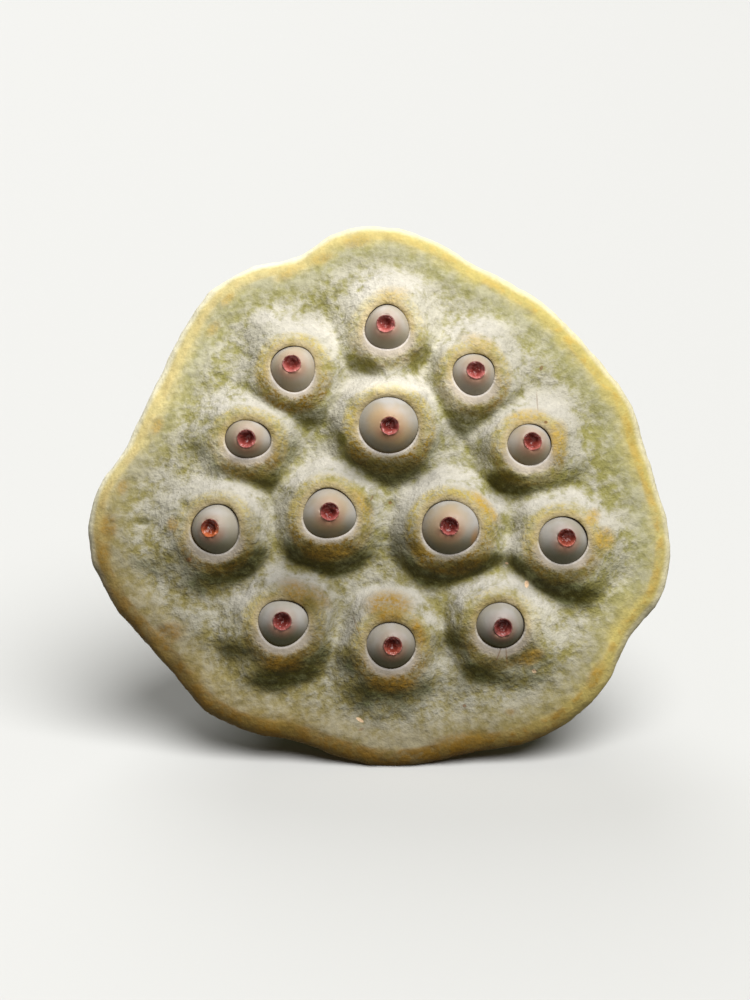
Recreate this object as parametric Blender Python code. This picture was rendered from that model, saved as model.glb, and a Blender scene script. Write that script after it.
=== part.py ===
"""A ripe lotus seed head, picked with a short piece of its stalk and laid on its side.

The head is one spongy, top-shaped receptacle with thirteen loose seeds, each held in its
own chamber by a mouth narrower than the seed. It is modelled face up (+Z) about the middle
of its face, and an empty then lays it down, so that the face looks along -Y and a little up,
and the flank below the rim and the cut end of the stalk rest on the surface at z = 0.
"""
import math
from collections import namedtuple

import bmesh
import bpy
import numpy as np
from mathutils import Matrix, Vector
from mathutils.geometry import delaunay_2d_cdt

MM = 0.001

# How the head lies: its face is turned up this far from upright.
LIE_TILT = math.radians(22.0)
# The two spots that carry it are pressed flat by this much.
FLANK_PRESS = 0.7 * MM
STALK_PRESS = 0.25 * MM
# The face's middle is moved by this much, which brings the whole footprint over the origin.
FACE_SHIFT_X = 0.8 * MM
FACE_SHIFT_Y = -37.0 * MM

# The rim seen square on: its radius every 10 degrees, anticlockwise from the right, in mm.
RIM_RADII = (
    45.7, 44.0, 43.9, 42.7, 41.9, 41.9, 41.5, 42.0, 44.0, 45.4, 45.1, 42.8,
    44.3, 45.0, 43.6, 42.4, 42.5, 43.8, 47.9, 49.4, 48.4, 46.4, 45.3, 45.9,
    44.7, 42.9, 43.4, 44.4, 44.4, 44.7, 46.8, 48.1, 47.9, 46.7, 48.6, 48.0,
)

# The rounded rim: how wide and deep it is. It begins as a soft shoulder on the face, which
# has sunk by this much, and sloped by RIM_START degrees, where the rim itself turns over.
RIM_ROUND = 3.0 * MM
SHOULDER_DEPTH = 0.35 * MM
SHOULDER_WIDTH = 2.5 * MM
RIM_START = 15.0

# The face between the mounds: a low dome, then a shallow furrow inside the rim.
DOME_HEIGHT = 1.5 * MM
DOME_SHARE = 0.85
FURROW_DEPTH = 0.25 * MM
FURROW_SHARE = 0.86
FURROW_WIDTH = 0.06

# Each seed stands in the top of a mound, whose ridge runs round the mouth. The mound leans
# with its seed, but less. The skirt of an outer mound reaches further out towards the rim.
MOUND_HEIGHT = 3.7 * MM
MOUND_SKIRT = 6.0 * MM
OUTER_SKIRT = 1.8 * MM
MOUND_LEAN_SHARE = 0.8
RIDGE_OFFSET = 0.7 * MM
LIP_DIP = 0.45 * MM
MOUND_BLEND = 4.0

# The flank below the rim, as (share of the rim's radius, depth in mm).
FLANK = (
    (0.985, 5.5), (0.948, 10.0), (0.898, 15.0), (0.838, 20.5), (0.765, 26.5), (0.68, 32.5),
    (0.585, 38.5), (0.48, 44.0), (0.37, 49.0), (0.265, 53.5), (0.18, 57.5),
)
LOBE_FADE = 1.6

# The stalk, as (radius, depth) in mm: neck, swollen ring of flower scars, and stalk.
STALK = (
    (6.3, 60.5), (5.7, 62.3), (6.1, 63.6), (5.9, 65.0), (4.9, 66.6), (4.6, 72.0),
    (4.5, 80.0), (4.5, 88.0), (4.6, 96.0),
)

# Where the points of the mesh lie: rings round each mouth at these distances from its edge,
# rings inside the rim at these shares of its radius, and an even fill between them.
MOUTH_SIDES = 18
MOUTH_STEPS = (0.0, 0.6 * MM, 1.2 * MM, 2.4 * MM, 3.6 * MM, 4.8 * MM, 6.0 * MM)
MOUTH_CLEAR = 0.5 * MM
FILL_STEP = 3.2 * MM
FILL_CLEAR = 7.5 * MM
FILL_SHARE = 0.78
RIM_SHARES = (0.82, 0.87, 0.91)
RIM_SIDES = 96
RIM_TURNS = (30.0, 60.0, 90.0)
FLANK_SIDES = (96, 96, 96, 96, 48, 48, 48, 48, 48, 24, 24)
STALK_SIDES = 24

# A chamber is this much wider inside than its mouth, and reaches this far up and down from
# its widest place. Its seed is smaller by the gap all round.
CHAMBER_SWELL = 1.38
CHAMBER_UP = 8.9 * MM
CHAMBER_DOWN = 7.2 * MM
CHAMBER_GAP = 0.4 * MM
TAPER_POWER = 1.9
TAPER_ROOT = 0.55
LOW_TURNS = (-12.0, -36.0, -62.0)
HIGH_SHARES = (0.62, 0.38, 0.14)
TIP_SHARES = (0.93, 0.86, 0.75)

# The dried stigma: a little raised cup on the seed's tip.
CUP_RADIUS = 1.5 * MM
CUP_FOOT = 0.944
CUP_RAISE = 0.4 * MM

# A seed as seen on the face: angle, distance from the middle and mouth radius in mm, lean to
# the right and up in degrees, then how oval and how three-cornered the mouth is, each as a
# share and the angle it points to.
Seed = namedtuple("Seed", "angle away mouth lean_right lean_up oval oval_at corner corner_at")
INNER_SEEDS = (
    Seed(86.0, 10.8, 4.70, 3.4, -10.0, 0.026, 0.0, 0.0, 0.0),
    Seed(202.7, 9.6, 4.20, 2.5, 2.0, 0.020, 0.0, 0.035, 100.0),
    Seed(331.1, 12.2, 4.50, -3.9, -1.4, 0.030, 0.0, 0.015, -10.0),
)
OUTER_SEEDS = (
    Seed(89.0, 27.1, 3.70, -4.6, 3.5, 0.020, 90.0, 0.035, 90.0),
    Seed(52.8, 24.3, 3.50, 5.3, 5.6, 0.010, 90.0, 0.030, 275.0),
    Seed(18.0, 24.9, 3.55, 8.9, 5.9, 0.030, 20.0, 0.0, 0.0),
    Seed(344.8, 30.1, 3.95, 7.9, 3.5, 0.020, 0.0, 0.0, 0.0),
    Seed(310.9, 28.7, 3.80, 6.3, -10.8, 0.030, 0.0, 0.0, 0.0),
    Seed(272.6, 24.9, 3.85, 5.9, -4.8, 0.025, 0.0, 0.015, 270.0),
    Seed(232.5, 26.8, 3.90, -0.3, 2.7, 0.040, 10.0, 0.040, 22.0),
    Seed(192.6, 28.0, 4.05, -16.0, -1.4, 0.0, 0.0, 0.025, 60.0),
    Seed(158.9, 23.8, 3.45, -1.9, -5.0, 0.100, -5.0, 0.020, 0.0),
    Seed(126.3, 25.1, 3.80, -3.4, 9.0, 0.045, 100.0, 0.030, 285.0),
)


def rim_radius(angle):
    """The rim's radius at each angle: a closed Catmull-Rom curve through RIM_RADII."""
    radii = np.array(RIM_RADII) * MM
    count = len(radii)
    place = np.mod(angle, 2 * math.pi) / (2 * math.pi) * count
    index = np.floor(place).astype(int)
    part = place - index
    before, start, end, after = (radii[(index + step) % count] for step in (-1, 0, 1, 2))
    slope_in = (end - before) / 2
    slope_out = (after - start) / 2
    square = 3 * (end - start) - 2 * slope_in - slope_out
    cube = 2 * (start - end) + slope_in + slope_out
    return start + slope_in * part + square * part**2 + cube * part**3


def ring_angles(sides):
    """Equal steps round a ring."""
    return np.arange(sides) * 2 * math.pi / sides


def mouth_outline(seed, angle):
    """A mouth's radius at each angle: round, with its oval and its three corners."""
    oval = seed.oval * np.cos(2 * (angle - math.radians(seed.oval_at)))
    corner = seed.corner * np.cos(3 * (angle - math.radians(seed.corner_at)))
    return seed.mouth * MM * (1 + oval + corner)


def mouth_centre(seed):
    """Where the middle of a seed's mouth is, seen on the face."""
    angle = math.radians(seed.angle)
    return seed.away * MM * math.cos(angle), seed.away * MM * math.sin(angle)


def past_mouth(seed, x, y):
    """How far points of the face lie outside a mouth's edge."""
    centre_x, centre_y = mouth_centre(seed)
    angle = np.arctan2(y - centre_y, x - centre_x)
    return np.hypot(x - centre_x, y - centre_y) - mouth_outline(seed, angle)


def rim_share(x, y):
    """How far points of the face lie out, as a share of the rim's radius."""
    return np.hypot(x, y) / rim_radius(np.arctan2(y, x))


def ground_height(x, y):
    """The face without its mounds: a low dome, a furrow inside the rim, and its shoulder."""
    share = rim_share(x, y)
    dome = DOME_HEIGHT * np.cos(0.5 * math.pi * np.minimum(share / DOME_SHARE, 1)) ** 2
    furrow = FURROW_DEPTH * np.exp(-(((share - FURROW_SHARE) / FURROW_WIDTH) ** 2))
    inside_crest = rim_radius(np.arctan2(y, x)) - RIM_ROUND - np.hypot(x, y)
    shoulder = SHOULDER_DEPTH * np.clip(1 - inside_crest / SHOULDER_WIDTH, 0, 1) ** 2
    return dome - furrow - shoulder


def mound_skirt(seed, x, y):
    """How far a mound's skirt reaches at points of the face."""
    if seed in INNER_SEEDS:
        return MOUND_SKIRT
    centre_x, centre_y = mouth_centre(seed)
    across, along = x - centre_x, y - centre_y
    outward = (across * centre_x + along * centre_y) / (seed.away * MM * np.hypot(across, along))
    return MOUND_SKIRT + OUTER_SKIRT * np.clip(outward, 0, 1)


def mound_height(seed, x, y):
    """One mound: half a cosine wave up to its leaning ridge, then a rounded dip to the lip."""
    centre_x, centre_y = mouth_centre(seed)
    past = past_mouth(seed, x, y)
    past_ridge = past - RIDGE_OFFSET
    climb = 0.5 - 0.5 * np.cos(math.pi * np.clip(1 - past_ridge / mound_skirt(seed, x, y), 0, 1))
    slope_x = MOUND_LEAN_SHARE * math.tan(math.radians(seed.lean_right))
    slope_y = MOUND_LEAN_SHARE * math.tan(math.radians(seed.lean_up))
    top = MOUND_HEIGHT - slope_x * (x - centre_x) - slope_y * (y - centre_y)
    return top * climb - LIP_DIP * np.clip(1 - past / RIDGE_OFFSET, 0, 1) ** 3


def face_height(x, y):
    """The face with its mounds, which blend smoothly where they meet."""
    mounds = [mound_height(seed, x, y) for seed in INNER_SEEDS + OUTER_SEEDS]
    total = sum((mound / MOUND_HEIGHT) ** MOUND_BLEND for mound in mounds)
    return ground_height(x, y) + MOUND_HEIGHT * total ** (1 / MOUND_BLEND)


def mouth_rings(seed):
    """Points round a mouth, ring by ring outwards, seen on the face."""
    centre_x, centre_y = mouth_centre(seed)
    angles = ring_angles(MOUTH_SIDES)
    outline = mouth_outline(seed, angles)
    radius = np.concatenate([outline + step for step in MOUTH_STEPS])
    angles = np.tile(angles, len(MOUTH_STEPS))
    return np.stack([centre_x + radius * np.cos(angles), centre_y + radius * np.sin(angles)], 1)


def own_points(seed, points):
    """Of a seed's ring points, those that lie nearer to its mouth than to any other."""
    own = past_mouth(seed, *points.T)
    others = [past_mouth(s, *points.T) for s in INNER_SEEDS + OUTER_SEEDS if s is not seed]
    inside = rim_share(*points.T) < RIM_SHARES[0]
    return points[(own + MOUTH_CLEAR < np.min(others, axis=0)) & inside]


def fill_points():
    """A grid of triangles over the face, where it is clear of the mounds and of the rim."""
    reach = math.ceil(max(RIM_RADII) * MM / FILL_STEP)
    row, column = np.mgrid[-reach : reach + 1, -reach : reach + 1]
    x = ((column + 0.5 * (row % 2)) * FILL_STEP).ravel()
    y = (row * FILL_STEP * math.sin(math.radians(60))).ravel()
    nearest = np.min([past_mouth(seed, x, y) for seed in INNER_SEEDS + OUTER_SEEDS], axis=0)
    kept = (nearest > FILL_CLEAR) & (rim_share(x, y) < FILL_SHARE)
    return np.stack([x[kept], y[kept]], 1)


def rim_points(inset_share):
    """A ring of the rim's outline, at a share of its radius, seen on the face."""
    angles = ring_angles(RIM_SIDES)
    radius = inset_share * rim_radius(angles)
    return np.stack([radius * np.cos(angles), radius * np.sin(angles)], 1)


def crest_points():
    """The ring where the face turns over into the rounded rim."""
    angles = ring_angles(RIM_SIDES)
    radius = rim_radius(angles) - RIM_ROUND
    return np.stack([radius * np.cos(angles), radius * np.sin(angles)], 1)


def closed_loop(first, count):
    """The edges of a ring of points numbered from first."""
    return [(first + i, first + (i + 1) % count) for i in range(count)]


def spans_mouth(face, crest_start):
    """Whether a triangle lies inside a mouth, with all its corners on one mouth's edge."""
    return max(face) < crest_start and len({corner // MOUTH_SIDES for corner in face}) == 1


def face_layout():
    """The face seen from above: its points, its triangles, and where its rings start.

    Each mouth's edge comes first, and then the crest of the rim, so that these rings are
    known by their numbers.
    """
    edges_of_mouths = [mouth_rings(seed)[:MOUTH_SIDES] for seed in INNER_SEEDS + OUTER_SEEDS]
    points = edges_of_mouths + [crest_points()]
    crest_start = MOUTH_SIDES * len(edges_of_mouths)
    for seed in INNER_SEEDS + OUTER_SEEDS:
        points.append(own_points(seed, mouth_rings(seed)[MOUTH_SIDES:]))
    points += [rim_points(share) for share in RIM_SHARES]
    points.append(fill_points())
    points = np.concatenate(points)
    borders = closed_loop(crest_start, RIM_SIDES)
    for start in range(0, crest_start, MOUTH_SIDES):
        borders += closed_loop(start, MOUTH_SIDES)
    made = delaunay_2d_cdt([Vector(point) for point in points], borders, [], 1, 1e-7)
    number = [originals[0] for originals in made[3]]
    triangles = [[number[corner] for corner in face] for face in made[2]]
    triangles = [face for face in triangles if not spans_mouth(face, crest_start)]
    return points, triangles, crest_start


def chamber_profile(shrink):
    """Rings of a chamber, or of a seed shrunk from it, below its mouth.

    Rows of (share of the mouth's outline, height): half an egg with a slightly conical top.
    """
    up = CHAMBER_UP - shrink
    down = CHAMBER_DOWN - shrink
    rows = [(egg_share(share), up * share) for share in HIGH_SHARES]
    for turn in np.radians(LOW_TURNS):
        rows.append((math.cos(turn), down * math.sin(turn)))
    return rows


def egg_share(height_share):
    """How wide the egg is at a share of its height above its widest place."""
    return (1 - height_share**TAPER_POWER) ** TAPER_ROOT


def mouth_depth():
    """How far the widest place of a chamber lies below its mouth."""
    return CHAMBER_UP * (1 - CHAMBER_SWELL ** (-1 / TAPER_ROOT)) ** (1 / TAPER_POWER)


def egg_rings(seed, rows, shrink):
    """Rings of a seed or a chamber in the seed's own frame, with its mouth's cross-section."""
    angles = ring_angles(MOUTH_SIDES)
    outline = mouth_outline(seed, angles) * CHAMBER_SWELL - shrink
    rings = []
    for share, height in rows:
        x = share * outline * np.cos(angles)
        y = share * outline * np.sin(angles)
        rings.append(np.stack([x, y, np.full(MOUTH_SIDES, height - mouth_depth())], 1))
    return rings


def seed_place(seed):
    """Where a seed's mouth is and how the seed leans, as a matrix."""
    x, y = mouth_centre(seed)
    height = float(ground_height(x, y)) + MOUND_HEIGHT - LIP_DIP
    axis = Vector((math.tan(math.radians(seed.lean_right)), math.tan(math.radians(seed.lean_up)), 1))
    turn = Vector((0, 0, 1)).rotation_difference(axis).to_matrix().to_4x4()
    return Matrix.Translation((x, y, height)) @ turn


def rim_ring(turn):
    """A ring on the rounded rim, at an angle over from its crest to its outer side."""
    angles = ring_angles(RIM_SIDES)
    start = math.radians(RIM_START)
    inset = RIM_ROUND * (1 - math.sin(math.radians(turn))) / (1 - math.sin(start))
    sunk = (RIM_ROUND - SHOULDER_DEPTH) * (1 - math.cos(math.radians(turn)) / math.cos(start))
    radius = rim_radius(angles) - inset
    height = np.full(RIM_SIDES, -SHOULDER_DEPTH - sunk)
    return np.stack([radius * np.cos(angles), radius * np.sin(angles), height], 1)


def flank_ring(sides, share, depth):
    """A ring on the flank, where the rim's lobes fade out with depth."""
    angles = ring_angles(sides)
    outline = rim_radius(angles)
    mean = np.mean(RIM_RADII) * MM
    radius = share * (mean + (outline - mean) * share**LOBE_FADE)
    return np.stack([radius * np.cos(angles), radius * np.sin(angles), np.full(sides, -depth * MM)], 1)


def stalk_ring(radius, depth, drop):
    """A round ring on the stalk, which bends down by drop towards its cut end."""
    top = STALK[0][1]
    bend = drop * ((depth - top) / (STALK[-1][1] - top)) ** 2
    angles = ring_angles(STALK_SIDES)
    x = radius * MM * np.cos(angles)
    y = radius * MM * np.sin(angles) - bend
    return np.stack([x, y, np.full(STALK_SIDES, -depth * MM)], 1)


def laid_height(points):
    """How high points of the face-up head come once it is tipped over, before it is raised."""
    return points[:, 1] * math.cos(LIE_TILT) + points[:, 2] * math.sin(LIE_TILT)


def outer_rings():
    """Rings from the rim down the flank and the stalk, and how far the laid head is raised.

    The raise puts the lowest flank on the surface, and the stalk bends down to meet it.
    """
    rings = [rim_ring(turn) for turn in RIM_TURNS]
    rings += [flank_ring(sides, *row) for sides, row in zip(FLANK_SIDES, FLANK)]
    raised = -float(min(laid_height(ring).min() for ring in rings)) - FLANK_PRESS
    straight_end = laid_height(stalk_ring(*STALK[-1], 0.0)).min()
    drop = (straight_end + raised + STALK_PRESS) / math.cos(LIE_TILT)
    rings += [stalk_ring(*row, drop) for row in STALK]
    return rings, raised


def join_rings(mesh, first, second):
    """Faces between two rings, of which the first may have twice as many points."""
    sides = len(second)
    for i in range(sides):
        after = (i + 1) % sides
        if len(first) == sides:
            mesh.faces.new((first[i], second[i], second[after], first[after]))
        else:
            left, middle, right = first[2 * i], first[2 * i + 1], first[2 * after]
            mesh.faces.new((left, second[i], middle))
            mesh.faces.new((middle, second[i], second[after]))
            mesh.faces.new((middle, second[after], right))


def close_with_rings(mesh, start, rings, end):
    """Faces from a ring of the mesh through further rings to one last point."""
    loops = [start] + [[mesh.verts.new(point) for point in ring] for ring in rings]
    for first, second in zip(loops, loops[1:]):
        join_rings(mesh, first, second)
    pole = mesh.verts.new(end)
    last = loops[-1]
    for i, vertex in enumerate(last):
        mesh.faces.new((vertex, pole, last[(i + 1) % len(last)]))


def finish_piece(name, mesh, material, laid):
    """Turn a bmesh into a smooth object under the empty that lays the head down."""
    bmesh.ops.recalc_face_normals(mesh, faces=mesh.faces)
    data = bpy.data.meshes.new(name)
    mesh.to_mesh(data)
    mesh.free()
    data.shade_smooth()
    data.materials.append(material)
    piece = bpy.data.objects.new(name, data)
    bpy.context.scene.collection.objects.link(piece)
    piece.parent = laid
    return piece


def press_flat(mesh, raised):
    """Lift what would lie below the surface up to it, which leaves the flat resting spots."""
    up = Vector((0, math.cos(LIE_TILT), math.sin(LIE_TILT)))
    for vertex in mesh.verts:
        height = vertex.co.dot(up) + raised
        if height < 0:
            vertex.co -= height * up


def make_receptacle(laid, rings, raised):
    """The spongy head with its chambers and its stalk, pressed flat where it rests."""
    mesh = bmesh.new()
    points, triangles, crest_start = face_layout()
    heights = face_height(*points.T)
    face = [mesh.verts.new((x, y, z)) for (x, y), z in zip(points, heights)]
    for triangle in triangles:
        mesh.faces.new([face[corner] for corner in triangle])
    for number, seed in enumerate(INNER_SEEDS + OUTER_SEEDS):
        place = seed_place(seed)
        mouth = face[number * MOUTH_SIDES : (number + 1) * MOUTH_SIDES]
        hollow = egg_rings(seed, chamber_profile(0.0), 0.0)
        hollow = [[place @ Vector(point) for point in ring] for ring in hollow]
        bottom = place @ Vector((0, 0, -CHAMBER_DOWN - mouth_depth()))
        close_with_rings(mesh, mouth, hollow, bottom)
    crest = face[crest_start : crest_start + RIM_SIDES]
    close_with_rings(mesh, crest, rings, rings[-1].mean(axis=0))
    press_flat(mesh, raised)
    return finish_piece("receptacle", mesh, receptacle_material(), laid)


def make_seed(name, seed, laid):
    """One hard ovoid seed, with the dried stigma cup on its tip."""
    up = CHAMBER_UP - CHAMBER_GAP
    radius = seed.mouth * MM * CHAMBER_SWELL - CHAMBER_GAP
    foot = CUP_FOOT * up
    rows = [(CUP_RADIUS / radius, foot + CUP_RAISE), (CUP_RADIUS / radius, foot)]
    rows += [(egg_share(share), up * share) for share in TIP_SHARES]
    rows += chamber_profile(CHAMBER_GAP)
    rings = egg_rings(seed, rows, CHAMBER_GAP)
    mesh = bmesh.new()
    dish = mesh.verts.new((0, 0, foot + 0.3 * CUP_RAISE - mouth_depth()))
    brim = [mesh.verts.new(point) for point in rings[0]]
    for i, vertex in enumerate(brim):
        mesh.faces.new((dish, vertex, brim[(i + 1) % MOUTH_SIDES]))
    bottom = (0, 0, -CHAMBER_DOWN + CHAMBER_GAP - mouth_depth())
    close_with_rings(mesh, brim, rings[1:], bottom)
    piece = finish_piece(name, mesh, seed_material(), laid)
    piece.matrix_local = seed_place(seed)
    return piece


def plain_material(name, colour, roughness):
    """A plain finish of one colour."""
    material = bpy.data.materials.new(name)
    material.use_nodes = True
    shader = material.node_tree.nodes["Principled BSDF"]
    shader.inputs["Base Color"].default_value = (*colour, 1.0)
    shader.inputs["Roughness"].default_value = roughness
    shader.inputs["Metallic"].default_value = 0.0
    return material


def receptacle_material():
    """Spongy green flesh under a pale waxy bloom."""
    return plain_material("bloomy_green_flesh", (0.42, 0.38, 0.18), 0.75)


def seed_material():
    """The hard grey-beige coat of a ripe seed."""
    return plain_material("grey_beige_seed_coat", (0.34, 0.29, 0.21), 0.4)


def make_head():
    """Make the receptacle and its seeds, and lay them down."""
    for old in list(bpy.data.objects):
        bpy.data.objects.remove(old, do_unlink=True)
    rings, raised = outer_rings()
    laid = bpy.data.objects.new("laid_head", None)
    bpy.context.scene.collection.objects.link(laid)
    laid.rotation_euler = (0.5 * math.pi - LIE_TILT, 0, 0)
    laid.location = (FACE_SHIFT_X, FACE_SHIFT_Y, raised)
    make_receptacle(laid, rings, raised)
    for number, seed in enumerate(INNER_SEEDS, 1):
        make_seed(f"seed_inner_{number}", seed, laid)
    for number, seed in enumerate(OUTER_SEEDS, 1):
        make_seed(f"seed_outer_{number:02d}", seed, laid)


make_head()
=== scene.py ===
import math

import bpy
import numpy as np
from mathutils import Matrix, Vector
from mathutils.geometry import delaunay_2d_cdt


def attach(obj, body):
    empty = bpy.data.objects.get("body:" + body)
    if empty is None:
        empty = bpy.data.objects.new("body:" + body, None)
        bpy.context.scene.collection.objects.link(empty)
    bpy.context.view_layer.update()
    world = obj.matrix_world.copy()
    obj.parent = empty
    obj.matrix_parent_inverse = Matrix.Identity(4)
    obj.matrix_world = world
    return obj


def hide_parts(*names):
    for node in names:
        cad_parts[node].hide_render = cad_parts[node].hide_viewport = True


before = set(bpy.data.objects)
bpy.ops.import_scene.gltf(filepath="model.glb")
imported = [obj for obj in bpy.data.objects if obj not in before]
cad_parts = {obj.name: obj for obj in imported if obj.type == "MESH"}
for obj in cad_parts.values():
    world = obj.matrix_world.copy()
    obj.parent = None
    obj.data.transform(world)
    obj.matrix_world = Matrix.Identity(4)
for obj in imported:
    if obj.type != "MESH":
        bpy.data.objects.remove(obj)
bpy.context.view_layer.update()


# The looks of a ripe lotus seed head, picked and laid on its side. Sizes are in millimetres,
# on the head turned face up about the middle of its face, until a piece is laid down.

# The receptacle: one spongy body with the face, its mounds and mouths, the rounded wavy rim,
# the flank and the stalk. It is soft plant tissue under a skin with a pale waxy bloom. It grew
# in one piece, and was picked with a short length of its stalk.
MM = 0.001
LIE_TILT = math.radians(22)
FACE_PLACE = np.array([0.8, -37.0, 42.108]) * MM

# The rim seen square on: its radius every 10 degrees, anticlockwise from the right.
RIM_RADII = np.array([
    45.7, 44.0, 43.9, 42.7, 41.9, 41.9, 41.5, 42.0, 44.0, 45.4, 45.1, 42.8,
    44.3, 45.0, 43.6, 42.4, 42.5, 43.8, 47.9, 49.4, 48.4, 46.4, 45.3, 45.9,
    44.7, 42.9, 43.4, 44.4, 44.4, 44.7, 46.8, 48.1, 47.9, 46.7, 48.6, 48.0,
])
RIM_ROUND = 3.0

# The skin steps down by the shoulder before it rolls over the rim.
SHOULDER = 0.35
SHOULDER_FROM = 5.5
SHOULDER_WIDE = 2.5

# The seeds, inner ones first: angle, distance from the middle and mouth radius, lean to the
# right and up in degrees, how oval and how three-cornered the mouth is (each as a share and
# the angle it points to), how warm the seed's coat is, how orange its stigma is, and how
# much ochre the skin has round the mouth.
SEEDS = np.array([
    (86.0, 10.8, 4.70, 3.4, -10.0, 0.026, 0.0, 0.0, 0.0, 0.9, 0.0, 0.95),
    (202.7, 9.6, 4.20, 2.5, 2.0, 0.020, 0.0, 0.035, 100.0, 0.5, 0.0, 0.85),
    (331.1, 12.2, 4.50, -3.9, -1.4, 0.030, 0.0, 0.015, -10.0, 0.6, 0.0, 0.95),
    (89.0, 27.1, 3.70, -4.6, 3.5, 0.020, 90.0, 0.035, 90.0, 0.2, 0.0, 0.6),
    (52.8, 24.3, 3.50, 5.3, 5.6, 0.010, 90.0, 0.030, 275.0, 0.2, 0.0, 0.7),
    (18.0, 24.9, 3.55, 8.9, 5.9, 0.030, 20.0, 0.0, 0.0, 0.3, 0.1, 0.75),
    (344.8, 30.1, 3.95, 7.9, 3.5, 0.020, 0.0, 0.0, 0.0, 0.0, 0.35, 0.75),
    (310.9, 28.7, 3.80, 6.3, -10.8, 0.030, 0.0, 0.0, 0.0, 0.0, 0.0, 0.6),
    (272.6, 24.9, 3.85, 5.9, -4.8, 0.025, 0.0, 0.015, 270.0, 0.1, 0.3, 0.75),
    (232.5, 26.8, 3.90, -0.3, 2.7, 0.040, 10.0, 0.040, 22.0, 0.0, 0.0, 0.7),
    (192.6, 28.0, 4.05, -16.0, -1.4, 0.0, 0.0, 0.025, 60.0, 0.1, 1.0, 0.65),
    (158.9, 23.8, 3.45, -1.9, -5.0, 0.100, -5.0, 0.020, 0.0, 0.3, 0.0, 0.75),
    (126.3, 25.1, 3.80, -3.4, 9.0, 0.045, 100.0, 0.030, 285.0, 0.4, 0.0, 0.85),
])
MOUTH_X = SEEDS[:, 1] * np.cos(np.radians(SEEDS[:, 0]))
MOUTH_Y = SEEDS[:, 1] * np.sin(np.radians(SEEDS[:, 0]))
LEAN_X = np.tan(np.radians(SEEDS[:, 3]))
LEAN_Y = np.tan(np.radians(SEEDS[:, 4]))

# Each seed stands in the top of a mound, whose ridge runs round the mouth.
# Those of the outer ring reach further towards the rim.
MOUND_HEIGHT = 3.7
MOUND_SKIRT = 6.0
OUTER_SKIRT = 1.8
OUTER_RING = 20.0
MOUND_LEAN_SHARE = 0.8
MOUND_WANDER = 0.35
MEETING_POWER = 4
RIDGE_OFFSET = 0.7
LIP_DIP = 0.45
LIP_ROUND = 0.22

# The face's low dome and the furrow inside the rim, placed by shares of the rim's radius.
DOME_HEIGHT = 1.5
DOME_END = 0.85
FURROW_DEEP = 0.25
FURROW_PLACE = 0.86
FURROW_WIDE = 0.06

# Slow swells of the face, and little dents in its margin: place, size and depth.
SWELL_HEIGHT = 0.2
SWELL_LENGTH = 11.0
DENTS = [
    (-39.4, -4.9, 0.8, 0.4),
    (-27.5, 19.3, 0.7, 0.3),
    (-32.5, -2.5, 0.9, 0.25),
    (20.3, 33.5, 0.8, 0.3),
]

# The flank as (share of the rim's radius, depth), then the stalk as (radius, depth). Its cut
# end hangs lower than its root.
FLANK = np.array([
    (1.0, 3.0), (0.985, 5.5), (0.948, 10.0), (0.898, 15.0), (0.838, 20.5), (0.765, 26.5),
    (0.68, 32.5), (0.585, 38.5), (0.48, 44.0), (0.37, 49.0), (0.265, 53.5), (0.18, 57.5),
])
STALK = np.array([
    (6.3, 60.5), (5.7, 62.3), (6.1, 63.6), (5.9, 65.0), (4.9, 66.6), (4.6, 72.0),
    (4.5, 80.0), (4.5, 88.0), (4.6, 96.0),
])
STALK_DROP = 2.3
PRICKLES_FROM = 66.0


def laid_down(x, y, z):
    """Places on the face-up head, turned back by the lie and moved to where it lies.

    Nothing goes below the surface: what would is pressed flat on it.
    """
    back = y * math.sin(LIE_TILT) - z * math.cos(LIE_TILT)
    up = y * math.cos(LIE_TILT) + z * math.sin(LIE_TILT)
    places = np.stack([x, back, up], axis=-1) * MM + FACE_PLACE
    places[..., 2] = np.maximum(places[..., 2], 0)
    return places


def catmull_rom(before, start, end, after, part):
    """A cubic from start to end that passes smoothly from the one before to the one after."""
    slope_in = (end - before) / 2
    slope_out = (after - start) / 2
    square = 3 * (end - start) - 2 * slope_in - slope_out
    cube = 2 * (start - end) + slope_in + slope_out
    return start + slope_in * part + square * part**2 + cube * part**3


def rim_radius(angle):
    """The rim's radius at each angle: a closed smooth curve through RIM_RADII."""
    count = len(RIM_RADII)
    place = np.mod(angle, 2 * math.pi) / (2 * math.pi) * count
    index = np.floor(place).astype(int)
    corners = (RIM_RADII[(index + step) % count] for step in (-1, 0, 1, 2))
    return catmull_rom(*corners, place - index)


def ripple(places, wavelength, seed, waves=36):
    """Soft noise: sine waves of random directions, phases and like lengths, added up."""
    draw = np.random.default_rng(seed)
    directions = draw.normal(size=(waves, places.shape[-1]))
    directions /= np.linalg.norm(directions, axis=1, keepdims=True)
    steps = 2 * math.pi / (wavelength * draw.uniform(0.65, 1.5, waves))
    starts = draw.uniform(0, 2 * math.pi, waves)
    total = np.zeros(places.shape[:-1])
    for direction, step, start in zip(directions, steps, starts):
        total += np.sin(places @ direction * step + start)
    return total * math.sqrt(2 / waves)


def mouth_outline(number, angle):
    """A mouth's radius at each angle: round, with its oval and its three corners."""
    mouth, oval, oval_at, corner, corner_at = SEEDS[number, [2, 5, 6, 7, 8]]
    wide = oval * np.cos(2 * (angle - math.radians(oval_at)))
    return mouth * (1 + wide + corner * np.cos(3 * (angle - math.radians(corner_at))))


def past_mouth(number, x, y):
    """How far places on the face lie outside a mouth's edge."""
    across, along = x - MOUTH_X[number], y - MOUTH_Y[number]
    return np.hypot(across, along) - mouth_outline(number, np.arctan2(along, across))


def nearest_mouth(x, y):
    """The distance past the nearest mouth's edge, and that mouth's number."""
    past = np.stack([past_mouth(number, x, y) for number in range(len(SEEDS))])
    return past.min(axis=0), past.argmin(axis=0)


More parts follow.
